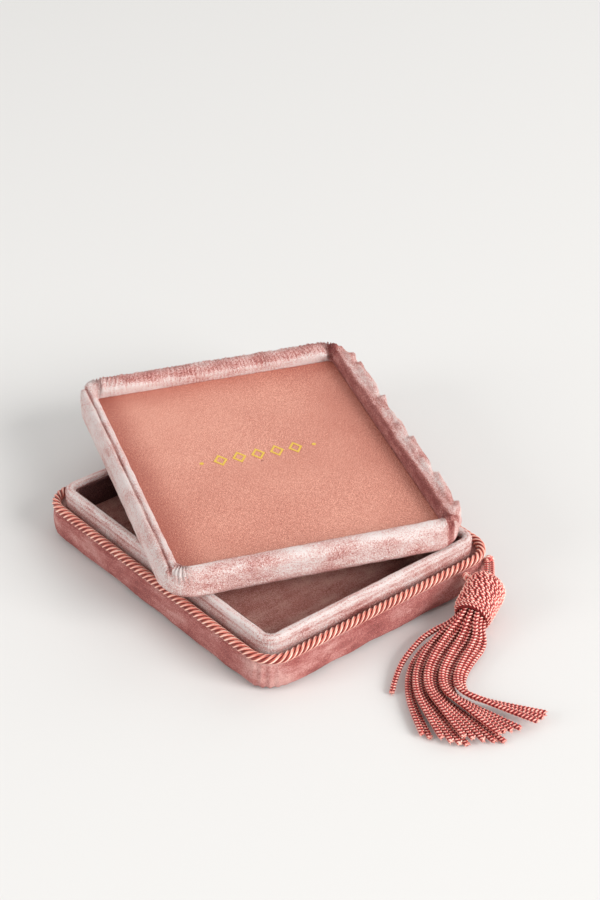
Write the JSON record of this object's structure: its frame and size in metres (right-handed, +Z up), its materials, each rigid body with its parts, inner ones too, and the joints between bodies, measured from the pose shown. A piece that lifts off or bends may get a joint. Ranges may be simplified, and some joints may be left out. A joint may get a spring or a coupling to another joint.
{
  "type": "velvet jewellery box",
  "caption": "Shallow rectangular velvet jewellery box with a lift-off padded lid, satin lining, twisted cord trim and a corner tassel.",
  "frame": {"origin": "centre of the underside of the base, on the surface it stands on", "axes": "+Z up; the long sides of the base run along Y; the front face looks along -Y"},
  "size_m": [0.1274, 0.205, 0.0269],
  "materials": {
    "velvet": "crushed velvet, pale rose sheen along the pile",
    "velvet_dark": "short-pile velvet",
    "satin": "fine satin, soft sheen",
    "foil": "hot-stamped gold foil",
    "cord": "twisted and chain-knit viscose cord",
    "greyboard": "pressed greyboard, matt",
    "foam": "open-cell foam",
    "underside_cloth": "plain woven cover cloth",
    "wood": "turned wooden mould"
  },
  "bodies": {
    "base": {"base_underside_cloth": "underside_cloth", "base_bottom_board": "greyboard", "base_wall_frame": "greyboard", "base_wall_padding": "foam", "base_velvet_wrap": "velvet", "collar_frame": "greyboard", "collar_velvet_wrap": "velvet", "tray_wall_lining": "velvet_dark", "tray_floor_board": "greyboard", "tray_floor_foam": "foam", "tray_floor_velvet": "velvet_dark", "trim_cord": "cord"},
    "lid": {"lid_velvet_wrap": "velvet", "lid_top_padding": "foam", "lid_wall_padding": "foam", "lid_top_board": "greyboard", "lid_wall_frame": "greyboard", "lid_lining_card": "greyboard", "lid_satin_lining": "satin", "lid_foil_ornament": "foil"},
    "tassel_tack": {"tassel_tack": "cord"},
    "tassel": {"tassel_loop": "cord", "tassel_head_cover": "cord", "tassel_head_core": "wood", "tassel_neck_band": "cord", "tassel_binding": "cord", "tassel_cover_knot": "cord", "tassel_strand_01": "cord", "tassel_strand_02": "cord", "tassel_strand_03": "cord", "tassel_strand_04": "cord", "tassel_strand_05": "cord", "tassel_strand_06": "cord", "tassel_strand_07": "cord", "tassel_strand_08": "cord", "tassel_strand_09": "cord", "tassel_strand_10": "cord", "tassel_strand_11": "cord", "tassel_strand_12": "cord", "tassel_strand_13": "cord", "tassel_strand_14": "cord", "tassel_strand_15": "cord", "tassel_strand_16": "cord", "tassel_strand_17": "cord", "tassel_strand_18": "cord", "tassel_strand_19": "cord"}
  },
  "joints": [
    {"name": "lid_lift", "type": "slide", "parent": "base", "child": "lid", "axis": [0, 0, 1], "range_m": [0, 0.12]},
    {"name": "tassel_swing", "type": "hinge", "parent": "base", "child": "tassel_tack", "pos_m": [0.0439, -0.0575, 0.009], "axis": [0, 0, 1], "range_deg": [-1, 160]},
    {"name": "tassel_lift", "type": "hinge", "parent": "tassel_tack", "child": "tassel", "pos_m": [0.0439, -0.0575, 0.009], "axis": [-0.7341, 0.679, 0], "range_deg": [0, 45]}
  ]
}
